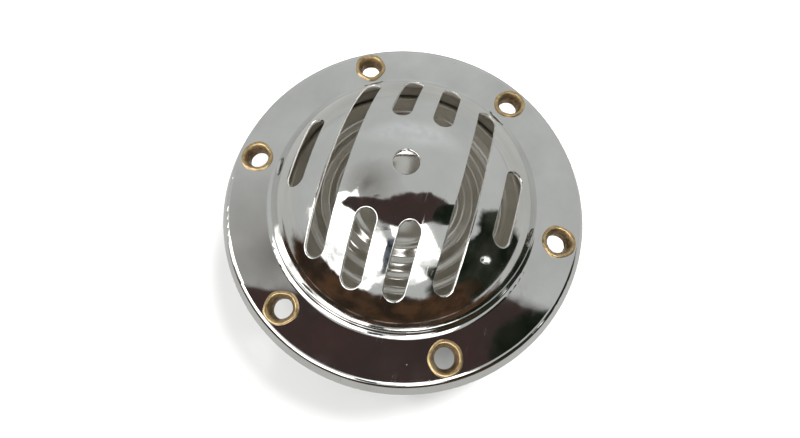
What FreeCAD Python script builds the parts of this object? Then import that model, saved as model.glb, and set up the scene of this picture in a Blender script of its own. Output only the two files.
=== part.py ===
import FreeCAD, Part
import math
import os
import re
import Sketcher

# An electric disc horn with a slotted dome front, in millimetres. The origin is on the horn's axis
# at the front face of its flange, +Z points out of the dome, and the dome's slots run along Y.

SIZES = {
    # pressed front: flange, skirt, wall and dome
    "front_rad": 50.0,
    "sheet": 0.9,
    "skirt_depth": 4.0,
    "skirt_flare": 2.3,
    "edge_bend": 1.5,
    "wall_rad": 36.7,
    "base_bend": 2.2,
    "dome_top": 25.0,
    "dome_rad": 42.5,
    "dome_bend": 3.2,
    "eye_rad": 3.1,
    "lip_bend": 0.3,
    # slots: one size across, three lengths, at three distances from the middle
    "slot_rad": 2.5,
    "near_slot_x": 5.25,
    "near_slot_low": 12.4,
    "near_slot_high": 29.7,
    "long_slot_x": 16.0,
    "long_slot_high": 25.2,
    "far_slot_x": 26.6,
    "far_slot_high": 9.9,
    # eyelets and the stack that they hold
    "eyelet_count": 6,
    "eyelet_pitch": 44.5,
    "eyelet_hole": 2.75,
    "eyelet_tube": 3.3,
    "eyelet_head": 4.7,
    "eyelet_foot": 4.45,
    "eyelet_foot_depth": 0.75,
    "punch_rad": 3.4,
    "stack_rad": 48.3,
    "seal_rad": 39.6,
    "gasket": 0.5,
    "diaphragm_sheet": 0.4,
    # diaphragm: hub, ridges and the step up from its rim
    "hub_height": 0.5,
    "first_ridge": 15.0,
    "ridge_pitch": 4.1,
    "ridge_height": 1.0,
    "ridge_count": 4,
    "step_top_rad": 31.5,
    "step_foot_rad": 35.6,
    # rear housing
    "cup_rad": 38.0,
    "shoulder_depth": 16.0,
    "shoulder_bend": 3.0,
    "boss_rad": 22.0,
    "back_depth": 30.0,
    "boss_bend": 2.5,
    "foot_bend": 1.5,
    # magnet and coil
    "core_rad": 8.0,
    "core_face": 7.6,
    "spigot_rad": 4.0,
    "bobbin_top": 10.5,
    "bobbin_low": 28.8,
    "bobbin_rad": 18.6,
    "bobbin_wall": 1.0,
    "winding_rad": 17.5,
    "wrap": 0.5,
    # armature on the diaphragm's hub
    "armature_rad": 11.0,
    "armature_top": 0.9,
    "armature_low": 6.9,
    "stud_rad": 2.5,
    "stud_top": 5.6,
    "hub_washer_rad": 7.0,
    "washer_sheet": 0.9,
    "hub_nut_flats": 8.0,
    "hub_nut_depth": 3.2,
    "fit_gap": 0.05,
    "overcut": 1.0,
    # contact breaker
    "pivot_x": 28.8,
    "pivot_depth": 10.5,
    "pivot_rad": 1.0,
    "barrel_rad": 2.0,
    "arm_half": 3.0,
    "arm_low": 9.1,
    "arm_top": 8.5,
    "arm_tip": 8.6,
    "contact_x": 22.0,
    "contact_rad": 1.5,
    "contact_plane": 8.0,
    "fixed_arm_low": 7.55,
    "fixed_arm_top": 6.95,
    "fixed_arm_tip": 19.5,
    "fixed_arm_half": 3.5,
    "pillar_x": 31.7,
    "pillar_far_x": 34.6,
    "bracket_x": 25.8,
    "bracket_half": 5.0,
    "ear_half_length": 2.2,
    "contact_screw_x": 33.2,
    "screw_head_depth": 1.3,
    "driver_slot_half": 0.4,
    "driver_slot_depth": 0.6,
    "leaf_sheet": 0.3,
    "leaf_foot": 2.0,
    "leaf_foot_top": 1.8,
    "leaf_rise": 5.0,
    "leaf_rise_top": 4.8,
    "leaf_reach": 6.5,
    "pad_reach": 0.4,
    "pad_half": 2.5,
    "pad_gap": 0.15,
    "rivet_x": 28.2,
    # adjuster
    "adjuster_x": 25.5,
    "adjuster_y": 9.0,
    "adjuster_rad": 2.0,
    "adjuster_tip": 8.0,
    "adjuster_end": 23.2,
    "adjuster_point": 1.0,
    "adjuster_head_rad": 3.2,
    "adjuster_head_depth": 2.4,
    "adjuster_slot_depth": 1.0,
    "collar_rad": 3.4,
    "collar_depth": 2.0,
    "nut_flats": 7.0,
    "nut_depth": 2.8,
    # terminals
    "terminal_x": 28.5,
    "terminal_y": 7.5,
    "terminal_rad": 2.0,
    "terminal_end": 26.5,
    "terminal_tip_rad": 1.9,
    "terminal_groove_rad": 1.6,
    "terminal_groove": 0.8,
    "terminal_head_rad": 3.4,
    "terminal_head_depth": 2.0,
    "terminal_hole_rad": 3.2,
    "terminal_bush_rad": 3.1,
    "terminal_washer_rad": 4.4,
    "terminal_washer_depth": 0.8,
    "terminal_nut_depth": 3.2,
    "inner_insulator_depth": 1.0,
    "plate_near_x": 24.5,
    "plate_far_x": 32.5,
    "plate_half": 12.0,
    "plate_depth": 2.0,
    "lead_rad": 0.6,
    "lead_low": 1.7,
    "lead_high": 2.2,
}

document = FreeCAD.newDocument("disc_horn")
sheet = document.addObject("Spreadsheet::Sheet", "Sizes")
for row, (alias, size) in enumerate(SIZES.items(), 1):
    sheet.set(f"A{row}", alias)
    sheet.set(f"B{row}", str(size))
    sheet.setAlias(f"B{row}", alias)
document.recompute()

UP = FreeCAD.Vector(0, 0, 1)
sub_parts = []


def value(formula):
    """Work out a formula of size names from the sheet."""
    return float(sheet.evalExpression(formula))


def linked(formula):
    """Point every size name in a formula at the sheet."""
    return re.sub(r"[a-z_]+", lambda word: "Sizes." * (word.group() in SIZES) + word.group(), formula)


def bind(item, **formulas):
    """Bind properties to the sheet; __ in a name stands for the dot of a nested property."""
    for name, formula in formulas.items():
        item.setExpression(name.replace("__", "."), linked(formula))


def sub_part(item, label):
    """Keep an object as a node of the assembly."""
    item.Label = label
    sub_parts.append(item)
    return item


def new_body(label, x="0", y="0"):
    """Start a body whose own axis stands at x, y."""
    body = document.addObject("PartDesign::Body", label)
    bind(body, Placement__Base__x=x, Placement__Base__y=y)
    return sub_part(body, label)


def new_sketch(body, plane, height="0"):
    """Attach a sketch to one of the body's origin planes, raised by height along its normal."""
    sketch = body.newObject("Sketcher::SketchObject", "Sketch")
    origin_plane = [item for item in body.Origin.OriginFeatures if item.Role == plane][0]
    sketch.AttachmentSupport = [(origin_plane, "")]
    sketch.MapMode = "FlatFace"
    bind(sketch, AttachmentOffset__Base__z=height)
    return sketch


def hold(sketch, kind, formula, *place):
    """Add a dimension to a sketch and bind it to the sheet."""
    index = sketch.addConstraint(Sketcher.Constraint(kind, *place, value(formula)))
    sketch.renameConstraint(index, f"size_{index}")
    sketch.setExpression(f"Constraints.size_{index}", linked(formula))


def arc_between(here, there, radius):
    """An arc of the given radius that bulges to the left of the way from here to there."""
    chord = there - here
    side = FreeCAD.Vector(-chord.y, chord.x, 0).normalize()
    rise = radius - math.sqrt(radius ** 2 - (chord.Length / 2) ** 2)
    return Part.Arc(here, (here + there) / 2 + side * rise, there)


def draw_outline(sketch, corners):
    """Draw a closed outline. A corner with a third formula starts an arc of that radius."""
    points = [FreeCAD.Vector(value(corner[0]), value(corner[1]), 0) for corner in corners]
    ends = []
    for index, corner in enumerate(corners):
        here = points[index]
        there = points[(index + 1) % len(corners)]
        if len(corner) == 3:
            inward = corner[2].startswith("-")
            radius = value(corner[2].lstrip("-"))
            edge = arc_between(there, here, radius) if inward else arc_between(here, there, radius)
            sketch.addGeometry(edge)
            first = 1 if sketch.getPoint(index, 1).distanceToPoint(here) < 1e-6 else 2
            hold(sketch, "Radius", corner[2].lstrip("-"), index)
        else:
            sketch.addGeometry(Part.LineSegment(here, there))
            first = 1
        ends.append((first, 3 - first))
    for index, corner in enumerate(corners):
        before = index - 1 if index else len(corners) - 1
        joined = (before, ends[before][1], index, ends[index][0])
        sketch.addConstraint(Sketcher.Constraint("Coincident", *joined))
        hold(sketch, "DistanceX", corner[0], -1, 1, index, ends[index][0])
        hold(sketch, "DistanceY", corner[1], -1, 1, index, ends[index][0])


def draw_circle(sketch, x, y, radius):
    """Draw a circle at x, y."""
    centre = FreeCAD.Vector(value(x), value(y), 0)
    index = sketch.addGeometry(Part.Circle(centre, UP, value(radius)))
    hold(sketch, "DistanceX", x, -1, 1, index, 3)
    hold(sketch, "DistanceY", y, -1, 1, index, 3)
    hold(sketch, "Radius", radius, index)


def draw_slot(sketch, x, low, high):
    """Draw a round-ended slot along Y at x, from the lower end's tip to the upper end's."""
    radius = value("slot_rad")
    bottom = FreeCAD.Vector(value(x), value(f"{low} + slot_rad"), 0)
    top = FreeCAD.Vector(value(x), value(f"{high} - slot_rad"), 0)
    across = FreeCAD.Vector(radius, 0, 0)
    cap = sketch.addGeometry(Part.ArcOfCircle(Part.Circle(top, UP, radius), 0, math.pi))
    left = sketch.addGeometry(Part.LineSegment(top - across, bottom - across))
    cup = sketch.addGeometry(Part.ArcOfCircle(Part.Circle(bottom, UP, radius), math.pi, 2 * math.pi))
    right = sketch.addGeometry(Part.LineSegment(bottom + across, top + across))
    for here, there in ((cap, left), (left, cup), (cup, right), (right, cap)):
        sketch.addConstraint(Sketcher.Constraint("Tangent", here, 2, there, 1))
    sketch.addConstraint(Sketcher.Constraint("Vertical", left))
    sketch.addConstraint(Sketcher.Constraint("Equal", cap, cup))
    hold(sketch, "Radius", "slot_rad", cap)
    hold(sketch, "DistanceX", x, -1, 1, cap, 3)
    hold(sketch, "DistanceY", f"{high} - slot_rad", -1, 1, cap, 3)
    hold(sketch, "DistanceY", f"{low} + slot_rad", -1, 1, cup, 3)


def turn(body, corners):
    """Revolve an outline of radius and height about the body's own axis."""
    sketch = new_sketch(body, "XZ_Plane")
    draw_outline(sketch, corners)
    solid = body.newObject("PartDesign::Revolution", "Turned")
    solid.Profile = (sketch, [""])
    solid.ReferenceAxis = (sketch, ["V_Axis"])
    solid.Angle = 360
    document.recompute()


def turned(label, corners, x="0", y="0"):
    """A sub-part revolved about an upright axis at x, y."""
    body = new_body(label, x, y)
    turn(body, corners)
    return body


def ring(label, inner, outer, low, high, x="0", y="0"):
    """A plain ring or washer, or a disc where inner is 0."""
    return turned(label, [(inner, low), (outer, low), (outer, high), (inner, high)], x, y)


def pad(body, corners, low, high):
    """Pad an outline in X and Y from one height to another."""
    sketch = new_sketch(body, "XY_Plane", low)
    draw_outline(sketch, corners)
    solid = body.newObject("PartDesign::Pad", "Padded")
    solid.Profile = (sketch, [""])
    bind(solid, Length=f"({high}) - ({low})")
    document.recompute()


def cut(body, sketch):
    """Cut a sketch's outlines right through the body."""
    document.recompute()
    before = body.Shape.Volume
    pocket = body.newObject("PartDesign::Pocket", "Cut")
    pocket.Profile = (sketch, [""])
    pocket.Type = "ThroughAll"
    pocket.SideType = "Symmetric"
    document.recompute()
    if not body.Shape.Volume < before:
        raise RuntimeError(f"{body.Label}: a cut removed nothing")
    return pocket


def bore(body, x, y, radius):
    """Cut one round hole through the body."""
    sketch = new_sketch(body, "XY_Plane")
    draw_circle(sketch, x, y, radius)
    return cut(body, sketch)


def punch_for_eyelets(body):
    """Cut the ring of holes that the eyelets pass through."""
    hole = bore(body, "eyelet_pitch", "0", "punch_rad")
    pattern = body.newObject("PartDesign::PolarPattern", "Around")
    pattern.Originals = [hole]
    pattern.Axis = (hole.Profile[0], ["N_Axis"])
    pattern.Angle = 360
    bind(pattern, Occurrences="eyelet_count")
    body.Tip = pattern
    document.recompute()


def fillet(body, radius, chosen):
    """Round the edges of the body's tip that chosen accepts."""
    base = body.Tip
    names = [f"Edge{index}" for index, edge in enumerate(base.Shape.Edges, 1) if chosen(edge)]
    if not names:
        raise RuntimeError(f"{body.Label}: no edge to round")
    rounded = body.newObject("PartDesign::Fillet", "Rounded")
    rounded.Base = (base, names)
    bind(rounded, Radius=radius)
    document.recompute()


def round_rim(body, radius, rim, height):
    """Round the circular edge about the body's axis that has this radius and height."""
    size = value(rim)
    level = value(height)

    def chosen(edge):
        if not isinstance(edge.Curve, Part.Circle):
            return False
        centre = edge.Curve.Center
        offset = max(abs(centre.x), abs(centre.y), abs(centre.z - level))
        return offset < 1e-4 and abs(edge.Curve.Radius - size) < 1e-4

    fillet(body, radius, chosen)


def box(name, x_low, x_high, y_low, y_high, low, high):
    """A block between formulas for its six sides."""
    block = document.addObject("Part::Box", name)
    bind(block, Length=f"({x_high}) - ({x_low})", Width=f"({y_high}) - ({y_low})")
    bind(block, Height=f"({high}) - ({low})")
    bind(block, Placement__Base__x=x_low, Placement__Base__y=y_low, Placement__Base__z=low)
    return block


def rod(name, radius, x, y, low, high):
    """An upright cylinder."""
    cylinder = document.addObject("Part::Cylinder", name)
    bind(cylinder, Radius=radius, Height=f"({high}) - ({low})")
    bind(cylinder, Placement__Base__x=x, Placement__Base__y=y, Placement__Base__z=low)
    return cylinder


def cross_rod(name, radius, x, half_length, height):
    """A cylinder along Y, centred on the XZ plane."""
    cylinder = document.addObject("Part::Cylinder", name)
    cylinder.Placement.Rotation = FreeCAD.Rotation(FreeCAD.Vector(1, 0, 0), -90)
    bind(cylinder, Radius=radius, Height=f"2 * ({half_length})")
    bind(cylinder, Placement__Base__x=x, Placement__Base__y=f"-({half_length})")
    bind(cylinder, Placement__Base__z=height)
    return cylinder


def joined(name, *pieces):
    """Fuse pieces into one solid."""
    fusion = document.addObject("Part::MultiFuse", name)
    fusion.Shapes = list(pieces)
    fusion.Refine = True
    return fusion


def less(name, piece, *tools):
    """Cut tools from a piece."""
    for tool in tools:
        difference = document.addObject("Part::Cut", name)
        difference.Base = piece
        difference.Tool = tool
        piece = difference
    return piece


def hexagon(flats):
    """The six corners of a nut, from its size across the flats."""
    turns = [math.radians(60 * corner) for corner in range(6)]
    return [(f"{flats} / sqrt(3) * {math.cos(turn):.9f}", f"{flats} / sqrt(3) * {math.sin(turn):.9f}")
            for turn in turns]


def nut(label, flats, hole, low, high, x="0", y="0"):
    """A hexagon nut on an upright axis."""
    body = new_body(label, x, y)
    pad(body, hexagon(flats), low, high)
    bore(body, "0", "0", hole)
    return body


def from_shape(label, shape):
    """Keep a shape made with Part's own functions as a node."""
    item = document.addObject("Part::Feature", label)
    item.Shape = shape
    item.Placement = FreeCAD.Placement()
    return sub_part(item, label)


def around(shape):
    """Copies of a shape at every eyelet's angle."""
    count = round(value("eyelet_count"))
    return [shape.rotated(FreeCAD.Vector(), UP, 360 * place / count) for place in range(count)]


# heights that several sub-parts share
FLANGE_BACK = "-sheet"
GASKET_BACK = "-sheet - gasket"
RIM_BACK = "-sheet - gasket - diaphragm_sheet"
STACK_BACK = "-sheet - 2 * gasket - diaphragm_sheet"
HOUSING_BACK = "-2 * sheet - 2 * gasket - diaphragm_sheet"
FLOOR = "-shoulder_depth + sheet"
HUB_BACK = "hub_height - diaphragm_sheet"
PLATE_TOP = "-shoulder_depth + 2 * sheet"


def front_grille():
    """The chromed pressing: flared skirt, flange, wall and slotted dome with a hole in its middle."""
    def on_dome(rim, ball):
        return f"dome_top - dome_rad + sqrt(({ball}) ^ 2 - ({rim}) ^ 2)"

    inner_wall = "wall_rad - sheet"
    inner_ball = "dome_rad - sheet"
    inner_skirt = "front_rad - sheet"
    skirt_rim = "front_rad + skirt_flare"
    outer_corner = on_dome("wall_rad", "dome_rad")
    inner_corner = on_dome(inner_wall, inner_ball)
    eye_top = on_dome("eye_rad", "dome_rad")
    body = turned("front_grille", [
        ("eye_rad", eye_top, "dome_rad"),
        ("wall_rad", outer_corner),
        ("wall_rad", "0"),
        ("front_rad", "0"),
        (skirt_rim, "-skirt_depth"),
        (f"{skirt_rim} - sheet", "-skirt_depth"),
        (inner_skirt, FLANGE_BACK),
        (inner_wall, FLANGE_BACK),
        (inner_wall, inner_corner, "-(dome_rad - sheet)"),
        ("eye_rad", on_dome("eye_rad", inner_ball)),
    ])
    round_rim(body, "dome_bend", "wall_rad", outer_corner)
    round_rim(body, "dome_bend - sheet", inner_wall, inner_corner)
    round_rim(body, "base_bend", "wall_rad", "0")
    round_rim(body, "base_bend + sheet", inner_wall, FLANGE_BACK)
    round_rim(body, "edge_bend", "front_rad", "0")
    round_rim(body, "edge_bend - sheet", inner_skirt, FLANGE_BACK)
    round_rim(body, "lip_bend", "eye_rad", eye_top)
    slots = new_sketch(body, "XY_Plane")
    for side in ("", "-"):
        draw_slot(slots, f"{side}long_slot_x", "-long_slot_high", "long_slot_high")
        draw_slot(slots, f"{side}far_slot_x", "-far_slot_high", "far_slot_high")
        draw_slot(slots, f"{side}near_slot_x", "near_slot_low", "near_slot_high")
        draw_slot(slots, f"{side}near_slot_x", "-near_slot_high", "-near_slot_low")
    cut(body, slots)
    middle = FreeCAD.Vector(0, 0, value("dome_top - dome_rad"))
    ball = value("dome_rad")
    clear = value("eye_rad + 2 * lip_bend")

    def slot_edge(edge):
        ends = [edge.valueAt(place) for place in edge.ParameterRange]
        on_ball = all(abs(point.distanceToPoint(middle) - ball) < 1e-4 for point in ends)
        beside_axis = min(math.hypot(point.x, point.y) for point in ends) > clear
        return on_ball and beside_axis and not edge.Closed

    fillet(body, "lip_bend", slot_edge)
    punch_for_eyelets(body)


def rim_ring(label, low, high):
    """A flat gasket of the clamped stack."""
    punch_for_eyelets(ring(label, "seal_rad", "stack_rad", low, high))


def diaphragm():
    """The springy disc: a flat hub, ridges in waves of equal arcs, a step down and a clamped rim."""
    top = value("hub_height")
    sheet_depth = FreeCAD.Vector(0, 0, -value("diaphragm_sheet"))
    pitch = value("ridge_pitch")
    rise = value("ridge_height")
    start = value("first_ridge - ridge_pitch / 2")

    def at(radius, height):
        return FreeCAD.Vector(radius, 0, height)

    # half a wave turns by the same angle up and down, so its bends meet at half the ridge's height
    half_turn = 2 * math.atan(2 * rise / pitch)
    bend = pitch / 4 / math.sin(half_turn)
    edges = [Part.LineSegment(at(value("stud_rad + fit_gap"), top), at(start, top))]
    here = at(start, top)
    for step in range(4 * round(value("ridge_count"))):
        climbing = step % 4 < 2
        level = top + rise * (1 / 2 if step % 2 == 0 else climbing)
        there = at(here.x + pitch / 4, level)
        hollow = step % 4 in (0, 3)
        centre_x = here.x if step % 2 == 0 and hollow else there.x
        if step % 4 == 2:
            centre_x = here.x
        centre_z = top + bend if hollow else top + rise - bend
        middle_x = (here.x + there.x) / 2
        reach = math.sqrt(bend ** 2 - (middle_x - centre_x) ** 2)
        middle = at(middle_x, centre_z - reach if hollow else centre_z + reach)
        edges.append(Part.Arc(here, middle, there))
        here = there
    rim_top = value(GASKET_BACK)
    route = [at(value("step_top_rad"), top), at(value("step_foot_rad"), rim_top),
             at(value("stack_rad"), rim_top)]
    for there in route:
        edges.append(Part.LineSegment(here, there))
        here = there
    upper = [edge.toShape() for edge in edges]
    lower = [edge.translated(sheet_depth) for edge in upper]
    ends = [upper[0].valueAt(upper[0].FirstParameter), here]
    sides = [Part.LineSegment(end, end + sheet_depth).toShape() for end in ends]
    face = Part.Face(Part.Wire(Part.__sortEdges__(upper + lower + sides)))
    disc = face.revolve(FreeCAD.Vector(), UP, 360)
    punch = Part.makeCylinder(value("punch_rad"), 20, FreeCAD.Vector(value("eyelet_pitch"), 0, -10))
    from_shape("diaphragm", disc.cut(around(punch)))


def rear_housing():
    """The steel cup: a flange under the stack, a shoulder for the fittings and a middle boss."""
    shoulder = "-shoulder_depth"
    inner_cup = "cup_rad - sheet"
    inner_boss = "boss_rad - sheet"
    spigot_hole = "spigot_rad + fit_gap"
    back = "-back_depth"
    inner_back = "-back_depth + sheet"
    body = turned("rear_housing", [
        ("stack_rad", STACK_BACK),
        (inner_cup, STACK_BACK),
        (inner_cup, FLOOR),
        (inner_boss, FLOOR),
        (inner_boss, inner_back),
        (spigot_hole, inner_back),
        (spigot_hole, back),
        ("boss_rad", back),
        ("boss_rad", shoulder),
        ("cup_rad", shoulder),
        ("cup_rad", HOUSING_BACK),
        ("stack_rad", HOUSING_BACK),
    ])
    round_rim(body, "shoulder_bend", "cup_rad", shoulder)
    round_rim(body, "shoulder_bend - sheet", inner_cup, FLOOR)
    round_rim(body, "boss_bend", "boss_rad", back)
    round_rim(body, "boss_bend - sheet", inner_boss, inner_back)
    round_rim(body, "foot_bend", "boss_rad", shoulder)
    round_rim(body, "foot_bend + sheet", inner_boss, FLOOR)
    round_rim(body, "foot_bend", "cup_rad", HOUSING_BACK)
    round_rim(body, "foot_bend + sheet", inner_cup, STACK_BACK)
    openings = new_sketch(body, "XY_Plane")
    draw_circle(openings, "adjuster_x", "adjuster_y", "adjuster_rad + sheet")
    draw_circle(openings, "contact_screw_x", "0", "pivot_rad + fit_gap")
    draw_circle(openings, "rivet_x", "0", "pivot_rad + fit_gap")
    for side in ("", "-"):
        draw_circle(openings, "-terminal_x", f"{side}terminal_y", "terminal_hole_rad")
    cut(body, openings)
    punch_for_eyelets(body)


def flange_eyelets():
    """Six brass tubes rolled over at both ends; a screw passes through each."""
    pitch = value("eyelet_pitch")
    hole = pitch + value("eyelet_hole")
    tube = pitch + value("eyelet_tube")
    head = pitch + value("eyelet_head")
    foot = pitch + value("eyelet_foot")
    back = value(HOUSING_BACK)
    drop = value("eyelet_foot_depth")

    def at(radius, height):
        return FreeCAD.Vector(radius, 0, height)

    edges = [
        Part.Arc(at(hole, 0), at((hole + head) / 2, (head - hole) / 2), at(head, 0)),
        Part.LineSegment(at(head, 0), at(tube, 0)),
        Part.LineSegment(at(tube, 0), at(tube, back)),
        Part.LineSegment(at(tube, back), at(foot, back)),
        Part.Arc(at(foot, back), at((hole + foot) / 2, back - drop), at(hole, back)),
        Part.LineSegment(at(hole, back), at(hole, 0)),
    ]
    face = Part.Face(Part.Wire([edge.toShape() for edge in edges]))
    eyelet = face.revolve(FreeCAD.Vector(pitch, 0, 0), UP, 360)
    from_shape("flange_eyelets", Part.makeCompound(around(eyelet)))


def magnet():
    """The core that is riveted into the boss, and the coil on its bobbin around it."""
    core_hole = "core_rad + 2 * fit_gap"
    tube = "core_rad + bobbin_wall"
    turned("magnet_core", [
        ("0", "-back_depth"),
        ("spigot_rad", "-back_depth"),
        ("spigot_rad", "-back_depth + sheet"),
        ("core_rad", "-back_depth + sheet"),
        ("core_rad", "-core_face"),
        ("0", "-core_face"),
    ])
    turned("coil_bobbin", [
        (core_hole, "-bobbin_low"),
        ("bobbin_rad", "-bobbin_low"),
        ("bobbin_rad", "-bobbin_low + bobbin_wall"),
        (tube, "-bobbin_low + bobbin_wall"),
        (tube, "-bobbin_top - bobbin_wall"),
        ("bobbin_rad", "-bobbin_top - bobbin_wall"),
        ("bobbin_rad", "-bobbin_top"),
        (core_hole, "-bobbin_top"),
    ])
    winding_low = "-bobbin_low + bobbin_wall"
    winding_top = "-bobbin_top - bobbin_wall"
    ring("coil_winding", tube, "winding_rad", winding_low, winding_top)
    ring("coil_wrap", "winding_rad", "winding_rad + wrap", winding_low, winding_top)


def armature():
    """The iron disc that the magnet pulls, its stud, and what clamps it to the diaphragm."""
    hole = "stud_rad + fit_gap"
    nut_foot = "hub_height + washer_sheet"
    ring("armature_plate", hole, "armature_rad", "-armature_low", "-armature_top")
    ring("armature_stud", "0", "stud_rad", "-armature_low", "stud_top")
    ring("hub_washer_rear", hole, "hub_washer_rad", "-armature_top", HUB_BACK)
    ring("hub_washer_front", hole, "hub_washer_rad", "hub_height", nut_foot)
    nut("hub_nut", "hub_nut_flats", hole, nut_foot, f"{nut_foot} + hub_nut_depth")


def breaker_bracket():
    """The steel bracket on the shoulder: a foot and two ears for the arm's pivot."""
    ear_low_x = "pivot_x - ear_half_length"
    ear_high_x = "pivot_x + ear_half_length"
    ear_top = "-pivot_depth + ear_half_length"
    foot = box("Foot", "bracket_x", "pillar_far_x", "-bracket_half", "bracket_half", FLOOR, PLATE_TOP)
    inner = "bracket_half - sheet"
    left_ear = box("LeftEar", ear_low_x, ear_high_x, inner, "bracket_half", PLATE_TOP, ear_top)
    right_ear = box("RightEar", ear_low_x, ear_high_x, "-bracket_half", f"-({inner})", PLATE_TOP, ear_top)
    pivot = cross_rod("PivotHole", "pivot_rad + fit_gap", "pivot_x", "bracket_half + overcut",
                      "-pivot_depth")
    rivet = rod("RivetHole", "pivot_rad + fit_gap", "rivet_x", "0", FLOOR, PLATE_TOP)
    screw = rod("ScrewHole", "pivot_rad + fit_gap", "contact_screw_x", "0", FLOOR, PLATE_TOP)
    blank = joined("Bracket", foot, left_ear, right_ear)
    sub_part(less("Drilled", blank, pivot, rivet, screw), "breaker_bracket")


def breaker_fixings():
    """The rivet and the screw that hold the bracket, and the pin that the arm turns on."""
    under = "-shoulder_depth - sheet"
    rivet_top = f"{PLATE_TOP} + sheet"
    head = "2 * pivot_rad"
    screw_top = "-fixed_arm_top + screw_head_depth"
    turned("bracket_rivet", [
        ("0", under),
        (head, under),
        (head, "-shoulder_depth"),
        ("pivot_rad", "-shoulder_depth"),
        ("pivot_rad", PLATE_TOP),
        (head, PLATE_TOP),
        (head, rivet_top),
        ("0", rivet_top),
    ], "rivet_x")
    pin = cross_rod("Pin", "pivot_rad", "pivot_x", "bracket_half + sheet", "-pivot_depth")
    sub_part(pin, "breaker_pivot_pin")
    screw = turned("contact_screw", [
        ("0", "-shoulder_depth"),
        ("pivot_rad", "-shoulder_depth"),
        ("pivot_rad", "-fixed_arm_top"),
        (head, "-fixed_arm_top"),
        (head, screw_top),
        ("0", screw_top),
    ], "contact_screw_x")
    cut_screwdriver_slot(screw, f"{screw_top} - driver_slot_depth", screw_top, head)


def cut_screwdriver_slot(body, low, high, head):
    """Cut a straight slot across a screw's head, between two heights."""
    sketch = new_sketch(body, "XY_Plane", low)
    far = f"({head}) + overcut"
    draw_outline(sketch, [(f"-({far})", "-driver_slot_half"), (far, "-driver_slot_half"),
                          (far, "driver_slot_half"), (f"-({far})", "driver_slot_half")])
    document.recompute()
    before = body.Shape.Volume
    pocket = body.newObject("PartDesign::Pocket", "Slot")
    pocket.Profile = (sketch, [""])
    pocket.Type = "Length"
    pocket.Reversed = True
    bind(pocket, Length=f"({high}) - ({low})")
    document.recompute()
    if not body.Shape.Volume < before:
        raise RuntimeError(f"{body.Label}: the slot removed nothing")


def breaker_fixed_side():
    """The insulated arm with the fixed contact, which the adjusting screw's tip nearly touches."""
    under_arm = "-fixed_arm_low"
    pillar = box("Pillar", "pillar_x", "pillar_far_x", "-arm_half", "arm_half", PLATE_TOP, under_arm)
    pillar_hole = rod("PillarHole", "pivot_rad + fit_gap", "contact_screw_x", "0", PLATE_TOP, under_arm)
    sub_part(less("PillarDrilled", pillar, pillar_hole), "contact_insulator")
    strip = box("Strip", "fixed_arm_tip", "pillar_far_x", "-fixed_arm_half", "fixed_arm_half",
                under_arm, "-fixed_arm_top")
    tab = box("Tab", "adjuster_x - adjuster_rad", "adjuster_x + adjuster_rad", "fixed_arm_half",
              "adjuster_y + adjuster_rad", under_arm, "-fixed_arm_top")
    arm_hole = rod("ArmHole", "pivot_rad + fit_gap", "contact_screw_x", "0", under_arm, "-fixed_arm_top")
    arm = less("ArmDrilled", joined("StripAndTab", strip, tab), arm_hole)
    sub_part(arm, "fixed_contact_arm")
    contact = rod("Fixed", "contact_rad", "contact_x", "0", "-contact_plane", under_arm)
    sub_part(contact, "fixed_contact")


def breaker_arm():
    """The pivoted arm: its contact is closed at rest, and the armature pushes its pad down."""
    low = "-arm_low"
    top = "-arm_top"
    strip = box("ArmStrip", "arm_tip", "pivot_x", "-arm_half", "arm_half", low, top)
    barrel = cross_rod("Barrel", "barrel_rad", "pivot_x", "arm_half", "-pivot_depth")
    hole = cross_rod("BarrelHole", "pivot_rad + fit_gap", "pivot_x", "arm_half + overcut", "-pivot_depth")
    sub_part(less("Arm", joined("ArmBlank", strip, barrel), hole), "breaker_arm")
    contact = rod("Moving", "contact_rad", "contact_x", "0", top, "-contact_plane - fit_gap")
    sub_part(contact, "moving_contact")
    pad_top = "-armature_low - pad_gap"
    pusher = box("Pad", "arm_tip", "armature_rad + pad_reach", "-pad_half", "pad_half", top, pad_top)
    sub_part(pusher, "striker_pad")


def arm_return_leaf():
    """The bent strip under the arm that closes the contacts again."""
    body = new_body("arm_return_leaf")
    sketch = new_sketch(body, "XZ_Plane")
    tip_top = "-arm_low - fit_gap"
    draw_outline(sketch, [
        ("bracket_x", FLOOR),
        ("bracket_x - leaf_foot", FLOOR),
        ("bracket_x - leaf_rise", f"{tip_top} - leaf_sheet"),
        ("bracket_x - leaf_reach", f"{tip_top} - leaf_sheet"),
        ("bracket_x - leaf_reach", tip_top),
        ("bracket_x - leaf_rise_top", tip_top),
        ("bracket_x - leaf_foot_top", f"{FLOOR} + leaf_sheet"),
        ("bracket_x", f"{FLOOR} + leaf_sheet"),
    ])
    strip = body.newObject("PartDesign::Pad", "Strip")
    strip.Profile = (sketch, [""])
    strip.SideType = "Symmetric"
    bind(strip, Length="arm_half")
    document.recompute()


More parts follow.
